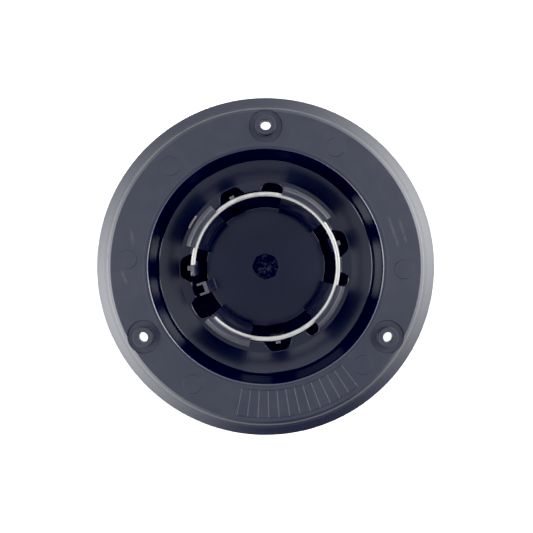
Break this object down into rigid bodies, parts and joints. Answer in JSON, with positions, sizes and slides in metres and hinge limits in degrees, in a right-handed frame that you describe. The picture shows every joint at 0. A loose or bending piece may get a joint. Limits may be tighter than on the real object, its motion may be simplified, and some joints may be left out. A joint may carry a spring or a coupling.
{
  "type": "wheel centre cap",
  "caption": "Round snap-in cap for the centre of a car wheel: a wide flange around a deep bowl, with barbed snap legs spread by a split wire ring, and screw bosses on the flange.",
  "frame": {"origin": "on the wheel axis, at the front face of the cap, which it lies on", "axes": "+Z along the wheel axis, from the front face to the snap legs at the back; +Y is up in the picture"},
  "size_m": [0.17, 0.17, 0.042],
  "materials": {
    "body": "satin",
    "wire": "satin"
  },
  "bodies": {
    "root": {"cap_body": "body", "retaining_ring": "wire"}
  },
  "joints": []
}
